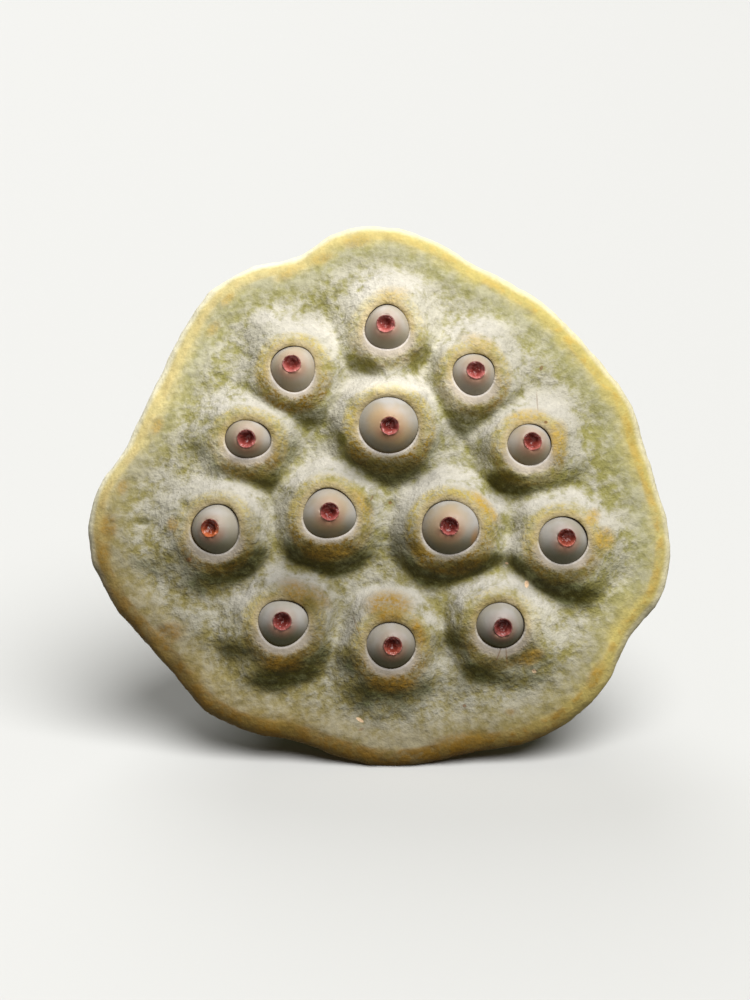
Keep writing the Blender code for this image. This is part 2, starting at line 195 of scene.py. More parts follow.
def dome_height(x, y):
    """The face's low dome, a squared cosine, with a shallow bell-shaped furrow inside the rim."""
    share = np.hypot(x, y) / rim_radius(np.arctan2(y, x))
    dome = DOME_HEIGHT * np.cos(0.5 * math.pi * np.minimum(share / DOME_END, 1)) ** 2
    return dome - FURROW_DEEP * np.exp(-(((share - FURROW_PLACE) / FURROW_WIDE) ** 2))


def ground_height(x, y):
    """The face without its mounds: the dome, slow swells, little dents and the shoulder."""
    edge = rim_radius(np.arctan2(y, x)) - np.hypot(x, y)
    shoulder = SHOULDER * np.clip((SHOULDER_FROM - edge) / SHOULDER_WIDE, 0, 1) ** 2
    ground = dome_height(x, y) - shoulder
    inside = np.clip((edge - RIM_ROUND) / 4.5, 0, 1)
    ground += SWELL_HEIGHT * ripple(np.stack([x, y], -1), SWELL_LENGTH, seed=3) * inside
    for dent_x, dent_y, size, deep in DENTS:
        ground -= deep * np.exp(-(((x - dent_x) / size) ** 2) - ((y - dent_y) / size) ** 2)
    return ground


def mounds_height(x, y):
    """All mounds: half a cosine wave up to a ridge, a rounded lip, blended where they meet.

    The skirts wander a little, so that no mound is quite round. The blend adds the heights'
    fourth powers and takes the fourth root.
    """
    wander = MOUND_WANDER * ripple(np.stack([x, y], -1), 8.0, seed=5)
    total = np.zeros(np.shape(x))
    for number, away in enumerate(SEEDS[:, 1]):
        across, along = x - MOUTH_X[number], y - MOUTH_Y[number]
        past = past_mouth(number, x, y)
        outward = (across * MOUTH_X[number] + along * MOUTH_Y[number]) / away
        outward = outward / np.hypot(across, along)
        skirt = MOUND_SKIRT + OUTER_SKIRT * np.clip(outward, 0, 1) * (away > OUTER_RING)
        past_ridge = past - RIDGE_OFFSET + wander * np.clip((past - 1.0) / 3, 0, 1)
        climb = 0.5 - 0.5 * np.cos(math.pi * np.clip(1 - past_ridge / skirt, 0, 1))
        lean = LEAN_X[number] * across + LEAN_Y[number] * along
        dip = LIP_ROUND * np.clip(1 - past / RIDGE_OFFSET, 0, 1) ** 3
        mound = (MOUND_HEIGHT - MOUND_LEAN_SHARE * lean) * climb - dip
        total += (np.maximum(mound, 0) / MOUND_HEIGHT) ** MEETING_POWER
    return MOUND_HEIGHT * total ** (1 / MEETING_POWER)


def felt_relief(places, strength):
    """The skin's fine crumpled relief, like suede: folded ripples of three sizes."""
    coarse = ripple(places, 2.6, seed=11)
    middle = np.abs(ripple(places, 1.5, seed=12)) - 0.8
    fine = ripple(places, 0.9, seed=13)
    return strength * (0.05 * coarse - 0.045 * middle + 0.028 * fine)


def face_height(x, y):
    """The whole face: ground, mounds, and the felt relief, which fades out at each lip."""
    past, _ = nearest_mouth(x, y)
    calm = 0.15 + 0.85 * np.clip((past - 0.5) / 1.3, 0, 1)
    relief = felt_relief(np.stack([x, y], -1), calm)
    return ground_height(x, y) + mounds_height(x, y) + relief


# The mesh of the face: rings round each mouth at these steps past its edge, a ring on the
# rim's crest, which starts the rim's roll at this angle, and a grid of triangles between them.
MOUTH_SIDES = 72
MOUTH_STEPS = np.array([0.0, 0.1, 0.25, 0.45, 0.7, 1.0, 1.35, 1.7])
RIM_SIDES = 480
RIM_START = 15
FILL_STEP = 0.43
FILL_GAP = 0.6 * FILL_STEP


def turns_of(sides):
    """The angles of a ring's points."""
    return np.arange(sides) * 2 * math.pi / sides


def face_layout():
    """The face seen from above, split into triangles.

    Rings follow each mouth's edge and the rim's crest, an even grid of triangles fills what
    lies between them, and the mouths stay open. The mouths' edges come first, then the crest.
    """
    turn = turns_of(MOUTH_SIDES)
    rings = []
    for step in MOUTH_STEPS:
        for number in range(len(SEEDS)):
            radius = mouth_outline(number, turn) + step
            x = MOUTH_X[number] + radius * np.cos(turn)
            y = MOUTH_Y[number] + radius * np.sin(turn)
            rings.append(np.stack([x, y], 1))
    around = turns_of(RIM_SIDES)
    crest = rim_radius(around) - RIM_ROUND
    crest_ring = np.stack([crest * np.cos(around), crest * np.sin(around)], 1)
    reach = math.ceil(RIM_RADII.max() / FILL_STEP)
    row, column = np.mgrid[-reach : reach + 1, -reach : reach + 1]
    x = ((column + 0.5 * (row % 2)) * FILL_STEP).ravel()
    y = (row * FILL_STEP * math.sin(math.radians(60))).ravel()
    inside = rim_radius(np.arctan2(y, x)) - RIM_ROUND - np.hypot(x, y)
    kept = (nearest_mouth(x, y)[0] > MOUTH_STEPS[-1] + FILL_GAP) & (inside > FILL_GAP)
    fill = np.stack([x[kept], y[kept]], 1)
    mouths = len(SEEDS)
    points = np.concatenate(rings[:mouths] + [crest_ring] + rings[mouths:] + [fill])
    borders = []
    for number in range(mouths + 1):
        ring = number * MOUTH_SIDES + np.arange(MOUTH_SIDES if number < mouths else RIM_SIDES)
        borders += np.stack([ring, np.roll(ring, -1)], 1).tolist()
    made = delaunay_2d_cdt([Vector(point) for point in points], borders, [], 1, 1e-6)
    number = np.array([originals[0] for originals in made[3]])
    triangles = number[np.array(made[2])]
    on_edge = triangles.max(axis=1) < mouths * MOUTH_SIDES
    one_mouth = np.ptp(triangles // MOUTH_SIDES, axis=1) == 0
    return points, triangles[~(on_edge & one_mouth)]


# The chambers, and the seeds in them, are eggs: how much wider than the mouth they are, how far
# they reach above and below their widest place, and the two powers of the upper half's curve.
CHAMBER_SWELL = 1.38
CHAMBER_UP = 8.9
CHAMBER_DOWN = 7.2
EGG_POWER = 1.9
EGG_ROOT = 0.55
CHAMBER_DEPTH = CHAMBER_UP * (1 - CHAMBER_SWELL ** (-1 / EGG_ROOT)) ** (1 / EGG_POWER)


def chamber_rows():
    """A chamber's wall below its mouth: (share of the widest radius, height from the mouth).

    It rolls over the lip, widens like the egg that it holds, and closes under it.
    """
    down = np.array([0.35, 1.0, 2.0, 3.4, 5.0])
    share = (1 - (np.maximum(CHAMBER_DEPTH - down, 0) / CHAMBER_UP) ** EGG_POWER) ** EGG_ROOT
    turn = np.radians([12, 30, 48, 66, 80])
    low = -CHAMBER_DEPTH - CHAMBER_DOWN * np.sin(turn)
    return np.concatenate([share, np.cos(turn)]), np.concatenate([-down, low])


def lean_with_seed(number, x, y, z):
    """Places in a seed's own frame, leaned with it and moved to its mouth on the face."""
    axis = np.array([LEAN_X[number], LEAN_Y[number], 1.0])
    turn = Vector((0, 0, 1)).rotation_difference(Vector(axis)).to_matrix()
    places = np.stack([x, y, z], -1) @ np.array(turn).T
    ground = dome_height(MOUTH_X[number], MOUTH_Y[number])
    return places + [MOUTH_X[number], MOUTH_Y[number], ground + MOUND_HEIGHT - LIP_DIP]


def through(rows, steps):
    """Even rows along a smooth curve through some rows."""
    place = np.linspace(0, len(rows) - 1, steps)
    index = np.minimum(place.astype(int), len(rows) - 2)
    before = rows[np.maximum(index - 1, 0)]
    after = rows[np.minimum(index + 2, len(rows) - 1)]
    return catmull_rom(before, rows[index], rows[index + 1], after, (place - index)[:, None])


def flank_places(share, depth, sides):
    """The flank: the rim's outline, shrunk with depth while its lobes fade, with fine ribs."""
    turn = turns_of(sides)
    outline = rim_radius(turn)[None, :]
    mean = RIM_RADII.mean()
    radius = share[:, None] * (mean + (outline - mean) * share[:, None] ** 1.6)
    x = radius * np.cos(turn)
    y = radius * np.sin(turn)
    z = np.broadcast_to(-depth[:, None], x.shape)
    places = np.stack([x, y, z], -1)
    streak = places * [1.0, 1.0, 0.12]
    grown = np.clip((depth - RIM_ROUND) / 8, 0, 1)[:, None]
    ribs = 0.16 * ripple(streak, 3.4, seed=21) - 0.1 * np.abs(ripple(streak, 1.7, seed=22))
    relief = grown * ribs + 0.05 * ripple(places, 1.6, seed=23)
    return places + relief[..., None] * np.stack([np.cos(turn), np.sin(turn), 0 * turn], -1)


def rim_places(turns):
    """The rounded rim: a quarter circle from the face's crest over to its outer side."""
    around = turns_of(RIM_SIDES)
    over = np.radians(turns)[:, None]
    inward = RIM_ROUND * (1 - np.sin(over)) / (1 - math.sin(math.radians(RIM_START)))
    radius = rim_radius(around)[None, :] - inward
    x = radius * np.cos(around)
    y = radius * np.sin(around)
    drop = (RIM_ROUND - SHOULDER) * (1 - np.cos(over) / math.cos(math.radians(RIM_START)))
    z = -SHOULDER - drop + 0 * radius
    places = np.stack([x, y, z], -1)
    relief = 0.07 * ripple(places, 5.0, seed=31) + felt_relief(places, 0.5)
    sideways = np.sin(over)
    up = np.cos(over) + 0 * around
    out = np.stack([sideways * np.cos(around), sideways * np.sin(around), up], -1)
    return places + relief[..., None] * out


def stalk_places(radius, depth, sides):
    """The stalk: a round tube that bends down, with fine streaks and little prickle stumps."""
    turn = turns_of(sides)
    bend = STALK_DROP * np.clip((depth - STALK[0, 1]) / np.ptp(STALK[:, 1]), 0, 1) ** 2
    x = radius[:, None] * np.cos(turn)
    y = radius[:, None] * np.sin(turn)
    z = -depth[:, None] + 0 * x
    places = np.stack([x, y, z], -1)
    below_neck = np.clip((depth[:, None] - PRICKLES_FROM) / 3, 0, 1)
    relief = 0.05 * ripple(places * [1.0, 1.0, 0.1], 1.4, seed=41)
    relief += 0.3 * np.clip(ripple(places, 1.9, seed=42) - 1.9, 0, 1) * below_neck
    x = x + relief * np.cos(turn)
    y = y + relief * np.sin(turn) - bend[:, None]
    return np.stack([x, y, z], -1)


# The air canals in the stalk's cut end: one in the middle and a ring of six.
CANAL_SIZE = 0.85
MIDDLE_CANAL_SIZE = 0.75
CANAL_RING = 2.55
CANAL_DEEP = 1.3
CUT_END_ROWS = 16


def cut_end_places(sides):
    """The stalk's cut end: a flat disc, sunk where its air canals open."""
    share = np.linspace(0.97, 0.04, CUT_END_ROWS)
    turn = turns_of(sides)
    end_radius, end_depth = STALK[-1]
    x = end_radius * share[:, None] * np.cos(turn)
    y = end_radius * share[:, None] * np.sin(turn)
    canals = [(0.0, 0.0, MIDDLE_CANAL_SIZE)]
    for angle in np.radians(range(10, 370, 60)):
        canals.append((CANAL_RING * math.cos(angle), CANAL_RING * math.sin(angle), CANAL_SIZE))
    pit = np.zeros(x.shape)
    for centre_x, centre_y, size in canals:
        pit = np.maximum(pit, np.clip((size - np.hypot(x - centre_x, y - centre_y)) / 0.3, 0, 1))
    return np.stack([x, y - STALK_DROP, -end_depth + CANAL_DEEP * pit], -1), pit


def grid_faces(first, rows, sides):
    """The faces of a tube of rings, each row numbered on from the last."""
    ring = np.arange(sides)
    start = first + np.arange(rows - 1)[:, None] * sides
    after = np.roll(ring, -1)
    corners = [start + ring, start + sides + ring, start + sides + after, start + after]
    return np.stack(corners, -1).reshape(-1, 4)


def halving_faces(wide, narrow, sides):
    """Faces from a ring with twice as many points to the next ring, three for each of these."""
    ring = np.arange(sides)
    after = np.roll(ring, -1)
    left, middle, right = wide + 2 * ring, wide + 2 * ring + 1, wide + 2 * after
    here, there = narrow + ring, narrow + after
    fan = [[left, here, middle], [middle, here, there], [middle, there, right]]
    return np.concatenate([np.stack(corners, -1) for corners in fan])


def make_mesh(name, places, faces, values):
    """A smooth mesh object from arrays of places, faces and point values."""
    data = bpy.data.meshes.new(name)
    data.vertices.add(len(places))
    data.vertices.foreach_set("co", places.astype(np.float32).ravel())
    corners = np.concatenate([group.ravel() for group in faces])
    sizes = np.concatenate([np.full(len(group), group.shape[1]) for group in faces])
    data.loops.add(len(corners))
    data.loops.foreach_set("vertex_index", corners.astype(np.int32))
    data.polygons.add(len(sizes))
    starts = np.concatenate([[0], np.cumsum(sizes)[:-1]])
    data.polygons.foreach_set("loop_start", starts.astype(np.int32))
    for key, numbers in values.items():
        layer = data.attributes.new(key, "FLOAT", "POINT")
        layer.data.foreach_set("value", np.asarray(numbers, np.float32))
    data.update(calc_edges=True)
    data.validate()
    data.shade_smooth()
    piece = bpy.data.objects.new(name, data)
    bpy.context.scene.collection.objects.link(piece)
    return piece


# Marks on the face: place, half length and half width, turn from the right in degrees, and
# how strong the mark is. Ochre stains first, then painted shade in hollows that catch little
# light, places with thick bloom that are also painted lighter as painted light, and bruises
# where the green flesh shows, some of which are painted shade under the mounds.
OCHRE_STAINS = [
    (-35.6, -23, 3, 1.6, 20, 0.8), (-45.4, -5.5, 2.2, 1.4, 90, 0.8),
    (-46.2, -10.5, 2.4, 1.2, 80, 0.9), (-43, 1.2, 1.3, 0.9, 60, 0.6),
    (-37.5, 11.4, 1.4, 1, 60, 0.7), (-28.4, 27.6, 1.4, 0.8, 50, 0.5),
    (-26, 32.6, 1.4, 0.7, 50, 0.6), (-16, 37, 2.2, 0.9, 30, 0.5), (-10.5, 39.5, 1.8, 0.9, 20, 0.5),
    (-4.5, 42.6, 2.4, 1.1, 10, 0.6), (34.5, -29.8, 2.4, 1, 60, 0.9), (36, -7.6, 1.7, 1.6, 80, 0.9),
    (34, -4, 1.5, 1, 50, 0.8), (23.8, -26.8, 2, 1.1, 25, 0.9), (0.8, -20, 2.2, 1.3, 0, 1),
    (5.6, -22.8, 2.2, 0.9, 110, 1), (1.4, -31.1, 3.6, 1.3, 0, 0.9), (-34.5, -5.2, 0.9, 1.1, 0, 0.8),
    (20.6, -35.6, 0.8, 0.5, 0, 0.6), (13, -40.5, 5, 1.5, 8, 0.8), (-10.7, -17, 2.4, 1.2, 135, 0.6),
    (-16.5, -27.9, 3.2, 1.1, 0, 0.8), (16.4, -2.5, 3, 1, 130, 0.9),
    (-3.6, -1.6, 2.2, 0.9, 130, 0.7), (0.7, -18.5, 3.4, 2.3, 0, 1),
    (-13.4, -16.9, 3.6, 1.9, -35, 0.85), (23.2, 12.4, 3, 1.2, 10, 0.5),
    (28.4, 8.8, 2.6, 1.4, 80, 0.7), (1.5, 32.6, 2.6, 1.4, 0, 0.4), (-9, -10, 3.4, 1.2, 0, 0.75),
    (15.6, 24.8, 3, 1.3, -20, 0.4),
]
SHADE_HOLLOWS = [
    (0.6, 3.6, 7, 2.3, 0, 0.55), (-9, -9.8, 4.6, 1.7, 0, 0.3), (10.7, -12.4, 4.8, 1.7, 0, 0.35),
    (-14, -15.6, 6.5, 2.8, -20, 0.42), (-10.6, -22, 3.2, 1.5, 85, 0.3),
    (-21.5, -6.5, 3.4, 1.4, 90, 0.22), (4.2, -7, 3.8, 1.7, 100, 0.38),
    (10.7, -11, 3.5, 0.8, 0, 0.25), (0.8, 5.4, 3.6, 0.8, 0, 0.25), (1, -18.4, 4.2, 2.6, 0, 0.15),
    (28, -14.4, 5, 1.6, 10, 0.3), (3, -8, 2.6, 1.6, 60, 0.3),
]
# Thick bloom is partly real and partly painted light: it whitens the skin and also lightens its tone.
THICK_BLOOM_AND_LIGHT = [
    (0.5, 27, 8.5, 7, 0, 0.27), (25.5, -22, 3.5, 4.5, 0, 0.3), (11.5, 16.5, 4, 2.6, 40, 0.35),
    (23.5, 2.6, 5.5, 1.8, 0, 0.35), (0.8, 17.1, 5.5, 1.3, 0, 0.35), (-27.5, 6, 3.5, 2, 30, 0.35),
    (34, -19, 8, 6, 60, 0.12), (-20, -34, 8, 4, -30, 0.12), (-33, 19, 8, 5, 60, 0.08),
    (18.8, -26.3, 3.2, 0.8, 0, 0.25), (-22.2, 3.8, 3, 0.9, 0, 0.2), (14.7, 12.3, 3.2, 1.2, 0, 0.25),
    (7, 21.6, 2.2, 1.6, 100, 0.35),
]
# Some of these green bruises, those under the mounds, are painted shade.
GREEN_AND_SHADE_MARKS = [
    (-6.9, 8.6, 1.3, 0.85, 115, 0.95), (-39.5, -4.5, 1.2, 0.5, 0, 0.7),
    (-2.4, -1.8, 1.2, 0.5, 130, 0.6), (12.5, 26, 1.6, 0.35, 60, 0.4), (-8, 15.4, 1.6, 0.6, 40, 0.4),
    (-3.2, 20.9, 3, 1.1, -25, 0.5), (-7.6, 34, 1.3, 0.5, 60, 0.4), (-5, 36.2, 1, 0.3, 0, 0.5),
    (-10.5, 31.5, 1.6, 0.5, 35, 0.4), (-11.9, -18.5, 1.7, 1.2, -55, 0.6),
    (0.6, 3.2, 5.5, 1.8, 0, 0.5), (28.8, -13.6, 3.6, 1.2, 0, 0.4),
]
MARKS = {
    "stain": (OCHRE_STAINS, 0.5),
    "hollow_shade": (SHADE_HOLLOWS, 0.7),
    "bloom_and_light": (THICK_BLOOM_AND_LIGHT, 0.7),
    "olive_and_shade": (GREEN_AND_SHADE_MARKS, 0.4),
}


def marks_at(x, y, table, soft):
    """The strength of a table's marks: 1 at a mark's middle and a smooth step down at its edge.

    The step reaches this share of the mark's size to both sides of its edge.
    """
    total = np.zeros(len(x))
    for middle_x, middle_y, long, wide, turn, strong in table:
        c, s = math.cos(math.radians(turn)), math.sin(math.radians(turn))
        along = ((x - middle_x) * c + (y - middle_y) * s) / long
        over = ((y - middle_y) * c - (x - middle_x) * s) / wide
        share = np.clip((1 + soft - np.hypot(along, over)) / (2 * soft), 0, 1)
        total = np.maximum(total, strong * share * share * (3 - 2 * share))
    return total


# The skin's values off the face: far past any mouth, and far in from the rim in a chamber. A
# place is turned into a share of the face's half width by FACE_HALF.
OFF_FACE = 30.0
IN_CHAMBER = 20.0
FACE_HALF = 45
MARKS_TO_DEPTH = -5

# Rows of the mesh: over the rim, down the flank in two halves of one length, down the stalk.
RIM_ROWS = 10
FLANK_ROWS = 46
STALK_ROWS = 64


def receptacle_mesh():
    """Everything of the receptacle in one closed mesh, with the values its skin is coloured by.

    The values at each point are: "past" the nearest mouth's edge, in from the rim's "edge",
    whether it lies "below" its mouth (1) or above it (-1), the "part" (0 face and rim, 1 flank,
    2 stalk, 3 cut end, 4 canal), how far the slope looks "under" (1) or up (-1), the "ochre"
    round its mouth, the height ("lift") and place "across" the face, and the face's marks.
    """
    places, faces = [], []
    keys = ["past", "edge", "below", "part", "ochre", "under", "lift", "across", *MARKS]
    values = {key: [] for key in keys}

    def add(new, **given):
        """Keep a block of places and its values, 0 if not given; returns its first number."""
        start = sum(len(block) for block in places)
        block = np.reshape(new, (-1, 3))
        x, y, z = block.T
        given["lift"] = y / FACE_HALF
        given["across"] = x / FACE_HALF
        for key, (table, soft) in MARKS.items():
            given[key] = marks_at(x, y, table, soft) * (z > MARKS_TO_DEPTH)
        for key, blocks in values.items():
            blocks.append(np.broadcast_to(given.get(key, 0.0), len(block)).astype(float))
        places.append(block)
        return start

    flat, triangles = face_layout()
    x, y = flat.T
    past, number = nearest_mouth(x, y)
    above, beneath = (ground_height(x, y + step) + mounds_height(x, y + step) for step in (1, -1))
    across, along = x - MOUTH_X[number], y - MOUTH_Y[number]
    add(
        np.stack([x, y, face_height(x, y)], -1),
        past=past,
        edge=rim_radius(np.arctan2(y, x)) - np.hypot(x, y),
        below=-along / np.maximum(np.hypot(across, along), 0.1),
        ochre=SEEDS[number, 11],
        under=np.clip((above - beneath) / 2, -1, 1),
    )
    faces.append(triangles)

    turn = turns_of(MOUTH_SIDES)
    share, drop = chamber_rows()
    for number in range(len(SEEDS)):
        radius = share[:, None] * CHAMBER_SWELL * mouth_outline(number, turn)
        depth = drop[:, None] + 0 * radius
        wall = lean_with_seed(number, radius * np.cos(turn), radius * np.sin(turn), depth)
        start = add(wall, past=np.repeat(drop, MOUTH_SIDES), edge=IN_CHAMBER)
        end = lean_with_seed(number, 0.0, 0.0, -CHAMBER_DEPTH - CHAMBER_DOWN)
        bottom = add(end, past=-14.0, edge=IN_CHAMBER)
        lip = number * MOUTH_SIDES + np.arange(MOUTH_SIDES)
        ring = start + np.arange(MOUTH_SIDES)
        faces.append(np.stack([np.roll(lip, -1), np.roll(ring, -1), ring, lip], -1))
        faces.append(grid_faces(start, len(share), MOUTH_SIDES)[:, ::-1])
        last = ring + (len(share) - 1) * MOUTH_SIDES
        faces.append(np.stack([last, np.roll(last, -1), np.full(MOUTH_SIDES, bottom)], -1))

    crest = len(SEEDS) * MOUTH_SIDES + np.arange(RIM_SIDES)
    turns = np.linspace(RIM_START, 90, RIM_ROWS + 1)[1:]
    outward = np.repeat(RIM_ROUND * (1 - np.sin(np.radians(turns))), RIM_SIDES)
    first = add(rim_places(turns), past=OFF_FACE, edge=outward)
    ring = first + np.arange(RIM_SIDES)
    faces.append(np.stack([crest, ring, np.roll(ring, -1), np.roll(crest, -1)], -1))

    half = RIM_SIDES // 2
    share, depth = through(FLANK, 2 * FLANK_ROWS).T
    starts = []
    for rows, sides in ((slice(1, FLANK_ROWS), RIM_SIDES), (slice(FLANK_ROWS, None), half)):
        edge = np.repeat(RIM_ROUND - depth[rows], sides)
        flank = flank_places(share[rows], depth[rows], sides)
        starts.append(add(flank, past=OFF_FACE, edge=edge, part=1.0))
    faces.append(grid_faces(first, RIM_ROWS + FLANK_ROWS - 1, RIM_SIDES))
    faces.append(halving_faces(starts[1] - RIM_SIDES, starts[1], half))
    faces.append(grid_faces(starts[1], FLANK_ROWS, half))

    quarter = half // 2
    radius, depth = through(STALK, STALK_ROWS).T
    edge = np.repeat(RIM_ROUND - depth, quarter)
    stalk = add(stalk_places(radius, depth, quarter), past=OFF_FACE, edge=edge, part=2.0)
    faces.append(halving_faces(stalk - half, stalk, quarter))
    faces.append(grid_faces(stalk, STALK_ROWS, quarter))

    end, pit = cut_end_places(quarter)
    cap = add(end, past=OFF_FACE, edge=edge[-1], part=3 + pit.ravel())
    deepest = [0.0, -STALK_DROP, CANAL_DEEP - STALK[-1, 1]]
    middle = add(deepest, past=OFF_FACE, edge=edge[-1], part=4.0)
    ring = cap - quarter + np.arange(quarter)
    inner = cap + np.arange(quarter)
    faces.append(np.stack([ring, inner, np.roll(inner, -1), np.roll(ring, -1)], -1))
    faces.append(grid_faces(cap, CUT_END_ROWS, quarter))
    last = inner + (CUT_END_ROWS - 1) * quarter
    faces.append(np.stack([last, np.full(quarter, middle), np.roll(last, -1)], -1))
    places = np.concatenate(places)
    return laid_down(*places.T), faces, {key: np.concatenate(blocks) for key, blocks in values.items()}


class Wire:
    """One output of a shader node. Sums and products of wires and numbers add Math nodes."""

    def __init__(self, tree, socket):
        self.tree = tree
        self.socket = socket

    def node(self, kind, settings, inputs, output=0):
        """A new node: its settings first, then the values or wires of its sockets."""
        made = self.tree.nodes.new(kind)
        for key, value in settings.items():
            setattr(made, key, value)
        for key, value in inputs.items():
            if isinstance(value, Wire):
                self.tree.links.new(value.socket, made.inputs[key])
            else:
                made.inputs[key].default_value = value
        return Wire(self.tree, made.outputs[output])

    def maths(self, operation, first, second):
        """One Math node."""
        return self.node("ShaderNodeMath", {"operation": operation}, {0: first, 1: second})

    def __add__(self, other):
        return self.maths("ADD", self, other)

    def __radd__(self, other):
        return self.maths("ADD", other, self)

    def __sub__(self, other):
        return self.maths("SUBTRACT", self, other)

    def __rsub__(self, other):
        return self.maths("SUBTRACT", other, self)

    def __mul__(self, other):
        return self.maths("MULTIPLY", self, other)

    def __rmul__(self, other):
        return self.maths("MULTIPLY", other, self)

    def ramp(self, low, high):
        """0 below low and 1 above high, with a smooth step between; low may be above high."""
        settings = {"interpolation_type": "SMOOTHSTEP"}
        sockets = {"Value": self, "From Min": low, "From Max": high}
        return self.node("ShaderNodeMapRange", settings, sockets)

    def larger(self, other):
        """The larger of this number and another."""
        return self.maths("MAXIMUM", self, other)

    def noise(self, scale, detail, rough):
        """Noise at this place, about one lump in 1/scale metres."""
        sockets = {"Vector": self, "Scale": scale, "Detail": detail, "Roughness": rough}
        return self.node("ShaderNodeTexNoise", {}, sockets, "Fac")

    def value(self, name):
        """A value kept at the mesh's points."""
        return self.node("ShaderNodeAttribute", {"attribute_name": name}, {}, "Fac")

    def scaled(self, factor):
        """This colour, times a number."""
        sockets = {0: self, "Scale": factor}
        return self.node("ShaderNodeVectorMath", {"operation": "SCALE"}, sockets)

    def blend(self, first, second):
        """From one colour to the other by this share."""
        first, second = [(*c, 1.0) if isinstance(c, tuple) else c for c in (first, second)]
        sockets = {0: self, 6: first, 7: second}
        return self.node("ShaderNodeMix", {"data_type": "RGBA"}, sockets, 2)

    def normal(self, strength, distance):
        """The surface's normal, raised by this height."""
        sockets = {"Strength": strength, "Distance": distance, "Height": self}
        return self.node("ShaderNodeBump", {}, sockets, "Normal")


def linear(red, green, blue):
    """A colour as seen on a screen (0 to 255), as the shader's linear numbers."""
    shares = [part / 255 for part in (red, green, blue)]
    return tuple(s / 12.92 if s <= 0.04045 else ((s + 0.055) / 1.055) ** 2.4 for s in shares)


def begin_finish(name):
    """A new material with its shader, and a wire that gives the place on the piece."""
    material = bpy.data.materials.new(name)
    material.use_nodes = True
    tree = material.node_tree
    shader = tree.nodes["Principled BSDF"]
    place = tree.nodes.new("ShaderNodeTexCoord").outputs["Object"]
    return material, shader, Wire(tree, place)


def feed(shader, key, wire):
    """Link a wire to one of the shader's sockets."""
    wire.tree.links.new(wire.socket, shader.inputs[key])


def strands(curled, turn):
    """Short soft wrinkles that lie one way: stretched noise on shifted places."""
    stretch = (2.2, 1.0, 1.0)
    sockets = {"Vector": curled, "Rotation": (0.0, math.radians(turn), 0.0), "Scale": stretch}
    return curled.node("ShaderNodeMapping", {"vector_type": "TEXTURE"}, sockets).noise(1500.0, 1.0, 0.5)


# Small flecks and dry threads on the skin, given as the marks of the face are. They are finer
# than its mesh.
BROWN_FLECKS = [
    (-31.7, -11, 0.55, 0.35, 30, 0.7), (26, 20.9, 0.4, 0.25, 60, 0.7),
    (25.2, 15.2, 1.3, 0.12, 90, 0.35), (26.4, 11.4, 0.3, 0.22, 0, 0.8),
    (13.1, -34.6, 0.3, 0.25, 0, 0.7), (-4.4, -22, 1.5, 0.12, 120, 0.4),
    (18.5, -26.4, 1.3, 0.12, 70, 0.5), (19.8, -26.6, 1.6, 0.12, 95, 0.5),
    (-3.7, -38.4, 0.5, 0.2, 20, 0.4), (1, -1.6, 0.3, 0.25, 0, 0.7), (-2, -1, 0.4, 0.2, 60, 0.5),
]
PALE_FLECKS = [
    (23.2, -14.9, 0.35, 0.5, 0, 0.9), (20, -11.5, 0.25, 0.2, 0, 0.9),
    (-3.9, -36.9, 0.65, 0.25, 155, 0.9), (24.4, -29, 0.4, 0.3, 130, 0.7),
    (18.7, -24.8, 0.22, 0.16, 0, 0.9), (19.9, -24.6, 0.18, 0.14, 0, 0.9),
]


def marks(place, table, soft):
    """The strength of a table's marks, as marks_at gives it, worked out by the shader.

    Each is a long ball in its own frame: 1 inside and 0 outside its radius, with a smooth step
    of this share of its size to both sides.
    """
    total = 0.0
    for x, y, long, wide, turn, strong in table:
        height = float(face_height(np.array([x]), np.array([y]))[0])
        sockets = {
            "Vector": place,
            "Location": tuple(laid_down(x, y, height)),
            "Rotation": (0.0, math.radians(-turn), 0.0),
            "Scale": (long * MM, 4 * long * MM, wide * MM),
        }
        own = place.node("ShaderNodeMapping", {"vector_type": "TEXTURE"}, sockets)
        away = own.node("ShaderNodeVectorMath", {"operation": "LENGTH"}, {0: own}, "Value")
        total = (away.ramp(1.0 + soft, 1.0 - soft) * strong).larger(total)
    return total


# The skin's colours as seen on a screen. Those named low are painted shade for the lower left
# of the face, which is turned from the light, and at the rim they are partly ochre as well.
# Those named shade are painted shade on the slopes that look down, and the highlight bloom is a
# painted highlight on those that look up.
FLESH = linear(154, 148, 84)
FLESH_LOW_SHADE = linear(156, 143, 84)
FLESH_SHADE = linear(80, 74, 14)
BLOOM = linear(188, 183, 164)
BLOOM_SHADE = linear(120, 120, 78)
BLOOM_HIGHLIGHT = linear(206, 201, 190)
MARGIN = linear(178, 174, 126)
MARGIN_LOW_SHADE = linear(166, 150, 104)
OCHRE = linear(186, 167, 90)
OCHRE_BELOW_SHADED = linear(130, 102, 28)
LIP_TAN = linear(186, 162, 108)
COLLAR_PALE_AND_LIT = linear(184, 172, 156)
COLLAR_EDGE_HIGHLIGHT = linear(212, 204, 196)
RIM_LEFT = linear(222, 205, 142)
RIM_RIGHT = linear(206, 188, 108)
RIM_LOW_SHADE = linear(150, 120, 46)
STAIN = linear(194, 158, 62)
STAIN_LOW_SHADE = linear(150, 112, 30)
BRUISE_AND_SHADE = linear(104, 98, 34)
HEM_HIGHLIGHT = linear(240, 233, 202)
FLANK_DARK = linear(146, 154, 84)
FLANK_PALE = linear(186, 190, 134)
CUT_END = linear(196, 186, 132)
CANAL_SHADE = linear(84, 70, 34)
BROWN_FLECK = linear(118, 78, 40)
PALE_FLECK = linear(232, 196, 158)
MOUTH_EDGE = linear(150, 126, 84)
CHAMBER_SHADE = linear(60, 48, 24)


